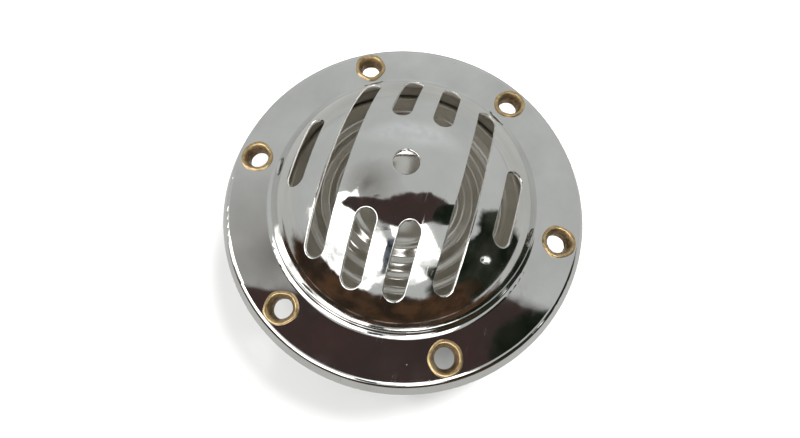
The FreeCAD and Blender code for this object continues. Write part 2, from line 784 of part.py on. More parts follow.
def adjuster():
    """The adjusting screw in the shoulder, its threaded bush and its lock nut."""
    place = ("adjuster_x", "adjuster_y")
    hole = "adjuster_rad + fit_gap"
    turned("adjuster_bush", [
        (hole, "-shoulder_depth"),
        ("adjuster_rad + sheet - fit_gap", "-shoulder_depth"),
        ("adjuster_rad + sheet - fit_gap", FLOOR),
        ("collar_rad", FLOOR),
        ("collar_rad", f"{FLOOR} + collar_depth"),
        (hole, f"{FLOOR} + collar_depth"),
    ], *place)
    nut("adjuster_lock_nut", "nut_flats", hole, "-shoulder_depth - nut_depth", "-shoulder_depth", *place)
    screw = turned("adjusting_screw", [
        ("0", "-adjuster_end"),
        ("adjuster_head_rad", "-adjuster_end"),
        ("adjuster_head_rad", "-adjuster_end + adjuster_head_depth"),
        ("adjuster_rad", "-adjuster_end + adjuster_head_depth"),
        ("adjuster_rad", "-adjuster_tip - adjuster_point"),
        ("adjuster_rad - adjuster_point", "-adjuster_tip"),
        ("0", "-adjuster_tip"),
    ], *place)
    cut_screwdriver_slot(screw, "-adjuster_end", "-adjuster_end + adjuster_slot_depth", "adjuster_head_rad")


def terminals():
    """The two insulated terminal studs on the shoulder, with their plates, bushes and nuts."""
    sides = ("terminal_y", "-terminal_y")
    hole = "terminal_rad + fit_gap"
    outer_back = "-shoulder_depth - plate_depth"
    washer_back = f"{outer_back} - terminal_washer_depth"
    head_foot = f"{FLOOR} + inner_insulator_depth"
    for label, low, high in (("terminal_plate", outer_back, "-shoulder_depth"),
                             ("terminal_inner_insulator", FLOOR, head_foot)):
        body = new_body(label)
        pad(body, [("-plate_far_x", "-plate_half"), ("-plate_near_x", "-plate_half"),
                   ("-plate_near_x", "plate_half"), ("-plate_far_x", "plate_half")], low, high)
        openings = new_sketch(body, "XY_Plane")
        for side in sides:
            draw_circle(openings, "-terminal_x", side, hole)
        cut(body, openings)
    nut_back = f"{washer_back} - terminal_nut_depth"
    groove_back = f"{nut_back} - terminal_groove"
    stud_corners = [
        ("0", "-terminal_end"),
        ("terminal_tip_rad", "-terminal_end"),
        ("terminal_tip_rad", groove_back),
        ("terminal_groove_rad", groove_back),
        ("terminal_groove_rad", nut_back),
        ("terminal_rad", nut_back),
        ("terminal_rad", head_foot),
        ("terminal_head_rad", head_foot),
        ("terminal_head_rad", f"{head_foot} + terminal_head_depth"),
        ("0", f"{head_foot} + terminal_head_depth"),
    ]
    groups = {
        "terminal_studs": [lathe(stud_corners, side) for side in sides],
        "terminal_bushes": [washer(hole, "terminal_bush_rad", "-shoulder_depth", FLOOR, side)
                            for side in sides],
        "terminal_washers": [washer(hole, "terminal_washer_rad", washer_back, outer_back, side)
                             for side in sides],
        "terminal_nuts": [hex_nut(hole, nut_back, washer_back, side) for side in sides],
    }
    for label, solids in groups.items():
        from_shape(label, Part.makeCompound(solids))


def lathe(corners, side):
    """A solid turned about the axis of one terminal."""
    place = FreeCAD.Vector(-value("terminal_x"), value(side), 0)
    points = [FreeCAD.Vector(value(radius), 0, value(height)) for radius, height in corners]
    face = Part.Face(Part.makePolygon(points + points[:1]))
    return face.revolve(FreeCAD.Vector(), UP, 360).translated(place)


def washer(inner, outer, low, high, side):
    """A ring about the axis of one terminal."""
    return lathe([(inner, low), (outer, low), (outer, high), (inner, high)], side)


def hex_nut(hole, low, high, side):
    """A hexagon nut about the axis of one terminal."""
    place = FreeCAD.Vector(-value("terminal_x"), value(side), value(low))
    corners = [FreeCAD.Vector(value(x), value(y), 0) for x, y in hexagon("nut_flats")]
    depth = value(f"({high}) - ({low})")
    block = Part.Face(Part.makePolygon(corners + corners[:1])).extrude(UP * depth)
    return block.cut(Part.makeCylinder(value(hole), depth)).translated(place)


def lead(label, route):
    """An insulated wire: straight runs joined by tangent arcs, as large as each corner allows."""
    points = [FreeCAD.Vector(*point) for point in route]
    edges = []
    here = points[0]
    for before, corner, after in zip(points, points[1:], points[2:]):
        back = (before - corner).normalize()
        ahead = (after - corner).normalize()
        shorter = min((before - corner).Length, (after - corner).Length)
        reach = 0.45 * shorter
        turn_angle = math.pi - back.getAngle(ahead)
        bend = reach / math.tan(turn_angle / 2)
        towards_middle = (back + ahead).normalize()
        middle = corner + towards_middle * (math.hypot(reach, bend) - bend)
        edges.append(Part.LineSegment(here, corner + back * reach).toShape())
        edges.append(Part.Arc(corner + back * reach, middle, corner + ahead * reach).toShape())
        here = corner + ahead * reach
    edges.append(Part.LineSegment(here, points[-1]).toShape())
    path = Part.Wire(edges)
    section = Part.Wire(Part.Circle(points[0], points[1] - points[0], value("lead_rad")).toShape())
    tube = path.makePipeShell([section], True, False)
    expected = math.pi * value("lead_rad") ** 2 * path.Length
    if abs(tube.Volume / expected - 1) > 0.02:
        raise RuntimeError(f"{label}: the tube's volume is wrong")
    from_shape(label, tube)


def leads():
    """The three wires inside: terminal to coil, coil to fixed contact, bracket to terminal."""
    along = value(f"{FLOOR} + lead_low")
    upper = value(f"{FLOOR} + lead_high")
    lead("lead_terminal_to_coil", [
        (-24.9, 7.5, upper), (-23.0, 7.5, upper), (-20.6, 5.4, upper), (-18.8, 3.0, upper)])
    lead("lead_coil_to_contact", [
        (14.6, 11.9, upper), (20.5, 15.8, upper), (28.5, 15.2, -10.6), (33.4, 9.2, -8.2),
        (33.2, 3.6, -7.3)])
    lead("lead_bracket_to_terminal", [
        (30.0, -5.7, along), (28.8, -12.0, along), (21.0, -20.5, along), (8.0, -27.5, along),
        (-7.0, -27.5, along), (-18.0, -21.5, along), (-24.2, -14.6, upper), (-26.4, -10.9, upper)])


def check_and_write():
    """Stop on any failed object, then write every sub-part to its own file."""
    document.recompute()
    for item in document.Objects:
        if {"Invalid", "Error"} & set(item.State):
            raise RuntimeError(f"{item.Label} is {item.State}")
    os.makedirs("parts", exist_ok=True)
    for item in sub_parts:
        if item.Shape.isNull() or not item.Shape.isValid() or not item.Shape.Solids:
            raise RuntimeError(f"{item.Label} has no valid solid")
        item.Shape.exportStep(f"parts/{item.Label}.step")


front_grille()
rim_ring("front_gasket", GASKET_BACK, FLANGE_BACK)
diaphragm()
rim_ring("rear_gasket", STACK_BACK, RIM_BACK)
rear_housing()
flange_eyelets()
magnet()
armature()
breaker_bracket()
breaker_fixings()
breaker_fixed_side()
breaker_arm()
arm_return_leaf()
adjuster()
terminals()
leads()
check_and_write()
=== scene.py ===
"""Disc horn: a chromed front pressing over a ribbed steel diaphragm, held together by six brass eyelets.

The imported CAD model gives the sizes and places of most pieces. The pieces made here carry the finer
shapes: rolled eyelets, a ribbed diaphragm, threads and chamfered nuts. Lengths are in metres, in the
frame of the CAD model, unless a name ends in _mm.
"""

import math
import random

import bmesh
import bpy
from mathutils import Matrix, Vector


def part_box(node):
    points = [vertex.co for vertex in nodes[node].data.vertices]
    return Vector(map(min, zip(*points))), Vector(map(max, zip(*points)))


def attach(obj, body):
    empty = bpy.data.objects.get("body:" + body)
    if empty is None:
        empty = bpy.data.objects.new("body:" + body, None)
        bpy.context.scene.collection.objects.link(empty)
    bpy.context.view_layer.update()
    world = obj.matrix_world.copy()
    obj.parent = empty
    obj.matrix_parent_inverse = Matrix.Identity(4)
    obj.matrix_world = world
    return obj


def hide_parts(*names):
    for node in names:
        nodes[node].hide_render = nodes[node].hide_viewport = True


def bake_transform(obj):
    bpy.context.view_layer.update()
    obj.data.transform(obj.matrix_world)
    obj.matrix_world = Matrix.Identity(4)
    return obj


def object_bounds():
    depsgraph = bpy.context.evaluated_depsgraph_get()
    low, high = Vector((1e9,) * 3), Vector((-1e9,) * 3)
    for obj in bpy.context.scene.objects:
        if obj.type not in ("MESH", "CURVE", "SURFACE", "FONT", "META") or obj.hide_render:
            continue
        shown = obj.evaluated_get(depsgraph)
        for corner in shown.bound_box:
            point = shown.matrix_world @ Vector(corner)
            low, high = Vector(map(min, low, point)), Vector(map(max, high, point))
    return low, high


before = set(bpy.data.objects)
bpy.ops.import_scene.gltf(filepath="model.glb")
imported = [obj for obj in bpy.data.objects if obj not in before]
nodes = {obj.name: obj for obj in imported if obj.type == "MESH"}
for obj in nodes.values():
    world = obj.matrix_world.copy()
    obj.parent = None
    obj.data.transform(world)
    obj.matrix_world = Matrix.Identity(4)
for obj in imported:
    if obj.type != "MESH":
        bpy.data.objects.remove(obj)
cad_low, cad_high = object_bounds()

MM = 0.001
FULL_TURN = 2 * math.pi


# ---------------------------------------------------------------- camera

CAMERA_AT = Vector((9.3, -40.7, 115.5)) * MM
CAMERA_LOOKS = Vector((-0.0717, 0.2857, -0.9556)).normalized()
CAMERA_UP = Vector((-0.2753, 0.9152, 0.2942))
CAMERA_LENS = 19.41


def make_camera():
    """A camera close above the lower edge of the horn, turned a little about its own line of sight."""
    data = bpy.data.cameras.new("camera")
    data.lens = CAMERA_LENS
    data.clip_start = 1 * MM
    data.clip_end = 20
    camera = bpy.data.objects.new("camera", data)
    bpy.context.scene.collection.objects.link(camera)
    right = CAMERA_LOOKS.cross(CAMERA_UP).normalized()
    up = right.cross(CAMERA_LOOKS)
    turned = Matrix((right, up, -CAMERA_LOOKS)).transposed().to_4x4()
    camera.matrix_world = Matrix.Translation(CAMERA_AT) @ turned
    bpy.context.scene.camera = camera


# ---------------------------------------------------------------- materials


class Finish:
    """One procedural material. Its methods add nodes and return the socket that the next node takes."""

    def __init__(self, name, metallic=0.0, roughness=0.5, **constants):
        self.material = bpy.data.materials.new(name)
        self.material.use_nodes = True
        self.tree = self.material.node_tree
        self.shader = self.tree.nodes["Principled BSDF"]
        self.shader.inputs["Metallic"].default_value = metallic
        self.shader.inputs["Roughness"].default_value = roughness
        for socket, value in constants.items():
            self.shader.inputs[socket.replace("_", " ")].default_value = value
        self.place = self.node("ShaderNodeTexCoord").outputs["Object"]

    def node(self, kind, **settings):
        made = self.tree.nodes.new(kind)
        for key, value in settings.items():
            setattr(made, key, value)
        return made

    def put(self, socket, value):
        """Links a socket to another, or sets its value."""
        if isinstance(value, bpy.types.NodeSocket):
            self.tree.links.new(value, socket)
        else:
            socket.default_value = value

    def math(self, operation, first, second=0.0, clamp=False):
        made = self.node("ShaderNodeMath", operation=operation, use_clamp=clamp)
        self.put(made.inputs[0], first)
        self.put(made.inputs[1], second)
        return made.outputs[0]

    def stretched(self, scale, turn=(0, 0, 0)):
        """The object's place, scaled by three numbers and turned."""
        made = self.node("ShaderNodeMapping")
        self.put(made.inputs["Vector"], self.place)
        made.inputs["Scale"].default_value = scale
        made.inputs["Rotation"].default_value = turn
        return made.outputs["Vector"]

    def noise(self, feature_mm, detail=3.0, rough=0.5, where=None, distortion=0.0):
        """Noise from 0 to 1 whose features are about that many millimetres across."""
        made = self.node("ShaderNodeTexNoise")
        self.put(made.inputs["Vector"], where or self.place)
        made.inputs["Scale"].default_value = 1 / (feature_mm * MM)
        made.inputs["Detail"].default_value = detail
        made.inputs["Roughness"].default_value = rough
        made.inputs["Distortion"].default_value = distortion
        return made.outputs["Fac"]

    def spots(self, spacing_mm, where=None):
        """The distance to the nearest of many scattered points, as a share of their spacing."""
        made = self.node("ShaderNodeTexVoronoi")
        self.put(made.inputs["Vector"], where or self.place)
        made.inputs["Scale"].default_value = 1 / (spacing_mm * MM)
        return made.outputs["Distance"]

    def span(self, value, low, high, to_low=0.0, to_high=1.0):
        """Value carried from low..high to to_low..to_high and held there."""
        made = self.node("ShaderNodeMapRange", clamp=True)
        self.put(made.inputs["Value"], value)
        limits = {"From Min": low, "From Max": high, "To Min": to_low, "To Max": to_high}
        for socket, number in limits.items():
            made.inputs[socket].default_value = number
        return made.outputs["Result"]

    def full(self, colour):
        """A colour as a socket takes it: another socket, or three numbers made four."""
        return colour if isinstance(colour, bpy.types.NodeSocket) else (*colour, 1)

    def blend(self, share, first, second):
        """A colour between two, by share."""
        made = self.node("ShaderNodeMix", data_type="RGBA")
        self.put(made.inputs["Factor"], share)
        for socket, colour in ((made.inputs["A"], first), (made.inputs["B"], second)):
            self.put(socket, self.full(colour))
        return made.outputs["Result"]

    def mixed(self, share, first, second):
        """A number between two, by share."""
        made = self.node("ShaderNodeMix", data_type="FLOAT")
        for socket, value in zip(made.inputs[:4], (share, None, first, second)):
            if value is not None:
                self.put(socket, value)
        return made.outputs[0]

    def faces_inward(self, centre):
        """1 where the surface faces a point, 0 where it faces away from it."""
        away = self.node("ShaderNodeVectorMath", operation="SUBTRACT")
        self.put(away.inputs[0], self.place)
        away.inputs[1].default_value = centre
        along = self.node("ShaderNodeVectorMath", operation="NORMALIZE")
        self.put(along.inputs[0], away.outputs[0])
        dot = self.node("ShaderNodeVectorMath", operation="DOT_PRODUCT")
        self.put(dot.inputs[0], along.outputs[0])
        self.put(dot.inputs[1], self.node("ShaderNodeNewGeometry").outputs["True Normal"])
        return self.span(dot.outputs["Value"], -0.25, -0.05, 1, 0)

    def radius(self, centre=(0, 0)):
        """The distance from an upright axis."""
        moved = self.node("ShaderNodeVectorMath", operation="SUBTRACT")
        self.put(moved.inputs[0], self.place)
        moved.inputs[1].default_value = (*centre, 0)
        flat = self.node("ShaderNodeVectorMath", operation="MULTIPLY")
        self.put(flat.inputs[0], moved.outputs[0])
        flat.inputs[1].default_value = (1, 1, 0)
        length = self.node("ShaderNodeVectorMath", operation="LENGTH")
        self.put(length.inputs[0], flat.outputs[0])
        return length.outputs["Value"]

    def rings(self, feature_mm, detail=2.0):
        """Noise that changes only with the distance from the horn's axis, as turning marks do."""
        made = self.node("ShaderNodeTexNoise", noise_dimensions="1D")
        self.put(made.inputs["W"], self.radius())
        made.inputs["Scale"].default_value = 1 / (feature_mm * MM)
        made.inputs["Detail"].default_value = detail
        return made.outputs["Fac"]

    def scratches(self, feature_mm, angles, wander=0.35):
        """Fine lines in a few directions, 0 to 1, broken up so that none runs right across."""
        found = None
        for angle in angles:
            lines = self.noise(feature_mm, 2, 0.6, self.stretched((1, 0.04, 0.04), (0, 0, angle)), wander)
            line = self.span(lines, 0.66, 0.72)
            found = line if found is None else self.math("MAXIMUM", found, line)
        broken = self.span(self.noise(9, 2), 0.45, 0.6)
        return self.math("MULTIPLY", found, broken)

    def bump(self, *heights, edge_mm=0.0):
        """Bump from (height socket, depth in millimetres) pairs, over edges rounded by edge_mm."""
        total = None
        for height, depth_mm in heights:
            scaled = self.math("MULTIPLY", height, depth_mm * MM)
            total = scaled if total is None else self.math("ADD", total, scaled)
        made = self.node("ShaderNodeBump")
        made.inputs["Distance"].default_value = 1
        self.put(made.inputs["Height"], total)
        if edge_mm:
            rounded = self.node("ShaderNodeBevel", samples=6)
            rounded.inputs["Radius"].default_value = edge_mm * MM
            self.put(made.inputs["Normal"], rounded.outputs["Normal"])
        self.put(self.shader.inputs["Normal"], made.outputs["Normal"])

    def paint(self, colour=None, roughness=None):
        if colour is not None:
            self.put(self.shader.inputs["Base Color"], self.full(colour))
        if roughness is not None:
            self.put(self.shader.inputs["Roughness"], roughness)


SPHERE_CENTRE = (0, 0, -17.5 * MM)


def chrome():
    """Old chrome, gently uneven, with rubbed haze, hairlines and a few pits, and a dull raw inside."""
    f = Finish("chrome_worn", metallic=1)
    cloud = f.noise(14, 3, 0.55)
    haze = f.span(f.noise(5, 4, 0.6), 0.42, 0.72)
    lines = f.scratches(0.5, (0.3, 1.25, 2.3))
    pit = f.span(f.spots(3.1), 0.028, 0.055, 1, 0)
    dirt = f.math("MULTIPLY", pit, f.span(f.noise(17, 2), 0.5, 0.62))
    tone = f.blend(f.span(cloud, 0.35, 0.7), (0.80, 0.80, 0.785), (0.71, 0.71, 0.70))
    polished = f.math("ADD", f.span(haze, 0, 1, 0.04, 0.11), f.math("MULTIPLY", lines, 0.12))
    inside = f.faces_inward(SPHERE_CENTRE)
    raw = f.blend(f.noise(4, 4, 0.6), (0.86, 0.83, 0.77), (0.74, 0.71, 0.65))
    f.paint(f.blend(inside, f.blend(dirt, tone, (0.10, 0.08, 0.06)), raw), f.mixed(inside, polished, 0.6))
    f.put(f.shader.inputs["Metallic"], f.mixed(inside, 1.0, 0.25))
    f.bump((f.noise(11, 1, 0.4), 0.05), (f.noise(2.2, 2, 0.5), 0.0022), (lines, -0.0006), (dirt, -0.02))
    return f.material


def tarnished_shaded_brass():
    """Brass eyelets with painted shade: brown under the roll, down the funnel and in the bore, lighter on
    the crown, with random patches of tarnish.
    """
    f = Finish("brass_tarnish_and_shade", metallic=1)
    # The vertex attribute read here is painted shade, brown where shade falls in the eyelet's hollows;
    # noise adds random tarnish patches.
    painted_shade = f.node("ShaderNodeAttribute", attribute_name="painted_shade").outputs["Fac"]
    shade_and_tarnish = f.math("ADD", painted_shade, f.span(f.noise(1.4, 4, 0.65), 0.3, 0.7, -0.28, 0.28), clamp=True)
    bright = f.blend(f.span(f.noise(0.9, 3), 0.35, 0.65), (0.80, 0.60, 0.33), (0.58, 0.41, 0.20))
    f.paint(f.blend(shade_and_tarnish, bright, (0.20, 0.13, 0.07)), f.span(shade_and_tarnish, 0, 1, 0.3, 0.55))
    f.bump((f.noise(0.5, 3, 0.6), 0.03), (f.noise(2.0, 2), 0.10))
    return f.material


def brass():
    """Turned brass, dulled."""
    f = Finish("brass_turned", metallic=1)
    dull = f.noise(2.5, 4, 0.6)
    tone = f.blend(f.span(dull, 0.35, 0.7), (0.62, 0.45, 0.18), (0.34, 0.22, 0.09))
    f.paint(tone, f.span(dull, 0.3, 0.7, 0.22, 0.42))
    f.bump((f.noise(0.25, 2), 0.004), (f.noise(1.5, 2), 0.01), edge_mm=0.12)
    return f.material


def spring_steel():
    """Satin plated sheet with the fine rings that turning and pressing leave."""
    f = Finish("spring_steel_satin", metallic=1)
    stain = f.span(f.noise(6, 4, 0.6), 0.45, 0.75)
    tone = f.blend(stain, (0.80, 0.785, 0.75), (0.70, 0.685, 0.65))
    f.paint(tone, f.span(f.noise(7, 2), 0.3, 0.7, 0.15, 0.19))
    f.bump((f.rings(0.5, 2), 0.0015))
    return f.material


def plated_steel():
    """Dull zinc plate, mottled grey with a trace of yellow."""
    f = Finish("zinc_plate", metallic=1)
    mottle = f.noise(3.5, 5, 0.65)
    grain = f.noise(0.35, 2)
    stain = f.span(f.noise(16, 3, 0.6), 0.5, 0.72)
    base = f.blend(f.span(mottle, 0.35, 0.68), (0.56, 0.56, 0.54), (0.40, 0.40, 0.385))
    rub = f.scratches(0.45, (0.7, 1.9, 2.9))
    f.paint(
        f.blend(stain, base, (0.36, 0.33, 0.24)),
        f.math("SUBTRACT", f.span(mottle, 0.3, 0.7, 0.32, 0.5), f.math("MULTIPLY", rub, 0.12)),
    )
    f.bump((grain, 0.006), (mottle, 0.012), (rub, -0.001), edge_mm=0.15)
    return f.material


def bright_steel():
    """Nickelled steel screws and nuts, handled and a little dulled."""
    f = Finish("nickelled_steel", metallic=1)
    dull = f.noise(1.8, 4, 0.6)
    tone = f.blend(f.span(dull, 0.4, 0.7), (0.66, 0.65, 0.62), (0.42, 0.40, 0.36))
    f.paint(tone, f.span(dull, 0.3, 0.7, 0.2, 0.4))
    f.bump((f.noise(0.3, 2), 0.004), (dull, 0.008), edge_mm=0.12)
    return f.material


def soft_iron():
    """Bare iron, grey-brown, with the grain of a sawn and faced surface."""
    f = Finish("iron_faced", metallic=0.9)
    rust = f.span(f.noise(2.4, 5, 0.7), 0.52, 0.7)
    f.paint(f.blend(rust, (0.27, 0.265, 0.26), (0.16, 0.085, 0.04)), f.span(rust, 0, 1, 0.36, 0.8))
    f.bump((f.rings(0.3, 2), 0.008), (rust, 0.01), edge_mm=0.15)
    return f.material


def tungsten():
    """Contact buttons, grey and finely pitted by the spark."""
    f = Finish("contact_metal", metallic=1)
    pits = f.span(f.spots(0.3), 0.1, 0.3, 1, 0)
    f.paint(f.blend(pits, (0.42, 0.41, 0.41), (0.12, 0.12, 0.13)), f.span(pits, 0, 1, 0.35, 0.7))
    f.bump((pits, -0.01))
    return f.material


def copper_wire():
    """Enamelled wire wound in even turns."""
    f = Finish("enamelled_wire", metallic=0.85, roughness=0.25)
    turns = f.node("ShaderNodeTexWave", wave_type="BANDS", bands_direction="Z", wave_profile="SIN")
    f.put(turns.inputs["Vector"], f.place)
    turns.inputs["Scale"].default_value = 1 / (0.4 * MM) / FULL_TURN
    f.paint(f.blend(f.noise(3, 3), (0.42, 0.15, 0.06), (0.26, 0.08, 0.035)))
    f.bump((turns.outputs["Fac"], 0.08))
    return f.material


def woven(name, dark, light, thread_mm):
    """Cotton: two sets of threads over and under, with stray fibres."""
    f = Finish(name, roughness=0.9, Sheen_Weight=0.3)
    sets = []
    for direction in ("DIAGONAL", "Z"):
        wave = f.node("ShaderNodeTexWave", wave_type="BANDS", bands_direction=direction)
        f.put(wave.inputs["Vector"], f.place)
        wave.inputs["Scale"].default_value = 1 / (thread_mm * MM) / FULL_TURN
        wave.inputs["Distortion"].default_value = 0.6
        sets.append(wave.outputs["Fac"])
    weave = f.math("MULTIPLY", *sets)
    fibres = f.noise(0.15, 3)
    f.paint(f.blend(f.math("MULTIPLY", weave, fibres), dark, light), f.span(fibres, 0, 1, 0.8, 0.98))
    f.bump((weave, 0.08), (fibres, 0.02))
    return f.material


def bakelite():
    """Black-brown moulded resin, glossy, with faint swirls and a dusty bloom."""
    f = Finish("moulded_resin", roughness=0.3, Specular_IOR_Level=0.5)
    swirl = f.noise(4, 4, 0.6, distortion=1.5)
    bloom = f.span(f.noise(7, 4, 0.6), 0.5, 0.8)
    base = f.blend(swirl, (0.022, 0.014, 0.010), (0.055, 0.032, 0.020))
    tone = f.blend(f.math("MULTIPLY", bloom, 0.35), base, (0.16, 0.14, 0.12))
    f.paint(tone, f.span(bloom, 0, 1, 0.22, 0.5))
    f.bump((f.noise(0.4, 2), 0.004), (f.noise(6, 1), 0.02), edge_mm=0.3)
    return f.material


def fibre(name, dark, light, roughness):
    """Pressed fibre or board: a matted grain with darker flecks."""
    f = Finish(name, roughness=roughness)
    mat = f.noise(0.6, 5, 0.7, f.stretched((1, 0.5, 1)))
    flecks = f.span(f.spots(0.9), 0.08, 0.2, 1, 0)
    base = f.blend(f.span(mat, 0.3, 0.7), dark, light)
    f.paint(f.blend(flecks, base, dark), f.span(mat, 0, 1, roughness - 0.1, roughness + 0.1))
    f.bump((mat, 0.03), (flecks, -0.01), edge_mm=0.1)
    return f.material


def make_materials():
    return {
        "chrome": chrome(),
        "brass": brass(),
        "gasket_board": fibre("gasket_board_fibre", (0.10, 0.085, 0.07), (0.24, 0.21, 0.17), 0.85),
        "spring_steel": spring_steel(),
        "plated_steel": plated_steel(),
        "bright_steel": bright_steel(),
        "soft_iron": soft_iron(),
        "copper_wire": copper_wire(),
        "cotton_tape": woven("cotton_tape_weave", (0.42, 0.36, 0.26), (0.72, 0.66, 0.52), 0.35),
        "bakelite": bakelite(),
        "red_fibre": fibre("vulcanised_fibre", (0.20, 0.035, 0.022), (0.36, 0.075, 0.045), 0.55),
        "tungsten": tungsten(),
        "lead_covering": woven("braided_cover", (0.030, 0.024, 0.020), (0.13, 0.10, 0.08), 0.22),
    }


# ---------------------------------------------------------------- mesh tools


def new_piece(name, mesh, material, body, replaces=(), sharp=35):
    """A mesh as a piece of the object, smooth except at edges sharper than that many degrees."""
    mesh.polygons.foreach_set("use_smooth", [True] * len(mesh.polygons))
    if sharp:
        mesh.set_sharp_from_angle(angle=math.radians(sharp))
    mesh.materials.clear()
    mesh.materials.append(material)
    piece = bpy.data.objects.new(name, mesh)
    bpy.context.scene.collection.objects.link(piece)
    if body:
        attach(piece, body)
    if replaces:
        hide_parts(*replaces)
    return piece


def grid_mesh(name, builder):
    """A mesh filled by builder(bm)."""
    bm = bmesh.new()
    builder(bm)
    bmesh.ops.recalc_face_normals(bm, faces=bm.faces)
    mesh = bpy.data.meshes.new(name)
    bm.to_mesh(mesh)
    bm.free()
    return mesh


def add_rings(bm, rings, closed):
    """Faces between rings of points, with the last ring joined to the first if closed."""
    made = [[bm.verts.new(p) for p in ring] for ring in rings]
    count = len(made[0])
    pairs = list(zip(made, made[1:])) + ([(made[-1], made[0])] if closed else [])
    for a, b in pairs:
        for i in range(count):
            j = (i + 1) % count
            bm.faces.new((a[i], a[j], b[j], b[i]))
    return made


def on_circle(centre, radius, z, angle):
    return Vector((centre[0] + radius * math.cos(angle), centre[1] + radius * math.sin(angle), z))


def turned_rings(centre, profile, steps):
    """Rings for a profile of (radius, z) turned about an upright axis."""
    return [[on_circle(centre, r, z, FULL_TURN * i / steps) for i in range(steps)] for r, z in profile]


def arc(centre_r, centre_z, radius, start, end, steps):
    """Profile points on an arc, from start to end degrees."""
    for i in range(steps + 1):
        angle = math.radians(start + (end - start) * i / steps)
        yield centre_r + radius * math.cos(angle), centre_z + radius * math.sin(angle)


# ---------------------------------------------------------------- eyelets

EYELET_COUNT = 6
EYELET_PITCH_RADIUS = 44.5 * MM
EYELET_BORE = 2.75 * MM
EYELET_HEAD = 4.7 * MM
EYELET_ROLL_SHARE = 0.62
EYELET_TUBE = 3.25 * MM
EYELET_FUNNEL = 1.5 * MM
EYELET_FOOT = 4.4 * MM
EYELET_FOOT_TOP = -3.2 * MM
EYELET_STEPS = 72
WOBBLE_ROOM = 0.08 * MM
PUNCHED_HOLE = 3.4 * MM
BACK_SHEETS = 0.8 * MM


def eyelet_profile(front, foot_top):
    """(radius, z, painted shade) round an eyelet's wall: rolled head in front, set foot behind."""
    head_low, head_high = front
    roll = (head_high - head_low) * EYELET_ROLL_SHARE
    roll_r = EYELET_HEAD - roll
    points = []
    # The third number is painted shade: 0.75 under the roll by the flange, 0.12 on the crown, rising down
    # the funnel to 0.95 in the bore.
    for r, z in arc(roll_r, head_high - roll, roll, -35, 100, 14):
        points.append((r, z, 0.75 if z < head_low + 0.25 * MM else 0.12))
    funnel_r = EYELET_BORE + 0.18 * MM
    for i in range(1, 9):
        share = i / 8
        r = points[14][0] + (funnel_r - points[14][0]) * share
        z = head_high - EYELET_FUNNEL * share ** 1.8
        points.append((r, z, 0.1 + 0.8 * share))
    depth = head_high - EYELET_FUNNEL
    for i in range(1, 7):
        points.append((EYELET_BORE + 0.02 * MM, depth + (foot_top - depth) * i / 6, 0.95))
    foot_mid = (EYELET_BORE + EYELET_FOOT) / 2
    for r, z in arc(foot_mid, foot_top + 0.05 * MM, (EYELET_FOOT - EYELET_BORE) / 2, 180, 360, 12):
        points.append((r, foot_top + (z - foot_top) * 0.9, 0.5))
    return points


def make_eyelets(material):
    """Six rolled brass eyelets, each set a little differently."""
    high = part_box("flange_eyelets")[1]
    gasket_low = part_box("rear_gasket")[0]
    chance = random.Random(7)

    def build(bm):
        # Each vertex carries the painted shade given by the profile.
        layer = bm.verts.layers.float.new("painted_shade")
        for index in range(EYELET_COUNT):
            angle = FULL_TURN * index / EYELET_COUNT
            centre = on_circle((0, 0), EYELET_PITCH_RADIUS, 0, angle)
            profile = eyelet_profile((0.0, high.z), EYELET_FOOT_TOP)
            phases = [chance.uniform(0, FULL_TURN) for _ in range(3)]
            sizes = [chance.uniform(0.03, 0.11) * MM for _ in range(3)]
            rings = []
            for r, z, _ in profile:
                share = max(0.0, min(1.0, (r - EYELET_BORE) / (EYELET_HEAD - EYELET_BORE)))
                ring = []
                for i in range(EYELET_STEPS):
                    turn = FULL_TURN * i / EYELET_STEPS
                    wobble = sum(s * math.sin(k * turn + p) for k, s, p in zip((2, 3, 5), sizes, phases))
                    uneven = wobble * (0.25 + share) - WOBBLE_ROOM * share
                    ring.append(on_circle(centre, r + uneven, z, turn))
                rings.append(ring)
            made = add_rings(bm, rings, closed=False)
            close_inside(bm, made, centre, gasket_low.z - BACK_SHEETS)
            for ring, (_, _, painted_shade) in zip(made, profile):
                for vertex in ring:
                    vertex[layer] = painted_shade

    mesh = grid_mesh("eyelets", build)
    piece = new_piece("eyelets_brass", mesh, material, "housing", ("flange_eyelets",), sharp=0)
    # The photo shows no brass mirrored in the chrome, so polished metal is kept from seeing it.
    piece.visible_glossy = False


def close_inside(bm, rings, centre, foot):
    """Closes the wall: joins the head's outer edge to the foot's, down the punched hole."""
    first, last = rings[0], rings[-1]
    count = len(first)
    top, low = (
        [bm.verts.new(on_circle(centre, EYELET_TUBE, z, FULL_TURN * i / count)) for i in range(count)]
        for z in (-0.05 * MM, foot)
    )
    for a, b in ((first, top), (top, low), (low, last)):
        for i in range(count):
            j = (i + 1) % count
            bm.faces.new((a[i], a[j], b[j], b[i]))


# ---------------------------------------------------------------- diaphragm


SHEET = 0.4 * MM
HUB_TOP = 0.5 * MM
HUB_GAP = 0.05 * MM
FIRST_CREST = 15.0 * MM
RIDGE_PITCH = 4.1 * MM
RIDGE_RISE = 1.0 * MM
ROUNDING = 0.35
RIDGES = 4
STEP_TOP = 31.5 * MM
STEP_FOOT = 35.6 * MM
FLAT_START = STEP_FOOT + 1 * MM


def ridge(turns):
    """A pressed ridge's height, 0 to 1 and back in one turn, with straight flanks and a rounded crest."""
    flank = 1 - abs(2 * (turns % 1) - 1)
    wave = (1 - math.cos(FULL_TURN * turns)) / 2
    return (1 - ROUNDING) * flank + ROUNDING * wave


